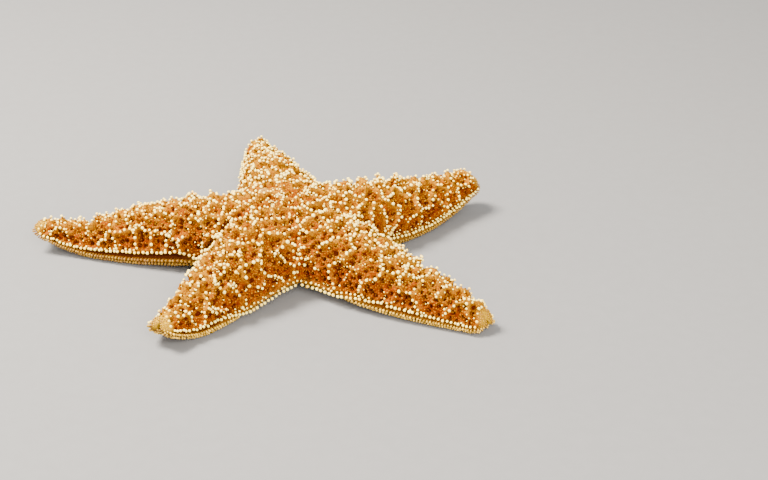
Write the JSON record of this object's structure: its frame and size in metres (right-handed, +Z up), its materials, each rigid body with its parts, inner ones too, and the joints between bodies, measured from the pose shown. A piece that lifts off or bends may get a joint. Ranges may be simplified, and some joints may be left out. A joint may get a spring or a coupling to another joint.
{
  "type": "five-armed starfish",
  "caption": "Orange sea star lying on its mouth side, arms spread and tips a little raised, its back a net of ridges set with pale bead spines.",
  "frame": {"origin": "centre of the box's bottom, on the floor under the disc", "axes": "+Z up, out of the back of the animal; -Y toward the viewer, between the two front arms; +X to the viewer's right"},
  "size_m": [0.1136, 0.1104, 0.019],
  "materials": {
    "body": "moist, rough, netted",
    "spines": "chalky, slightly glossy beads",
    "tips": "fine granules",
    "tube_feet": "soft, moist",
    "sieve_plate": "chalky, grooved",
    "mouth_parts": "soft, with pale spines"
  },
  "bodies": {
    "root": {"disc": "body", "arm_left": "body", "arm_front_left": "body", "arm_front_right": "body", "arm_back_right": "body", "arm_back": "body", "tip_left": "tips", "tip_front_left": "tips", "tip_front_right": "tips", "tip_back_right": "tips", "tip_back": "tips", "madreporite": "sieve_plate", "mouth": "mouth_parts"}
  },
  "joints": []
}
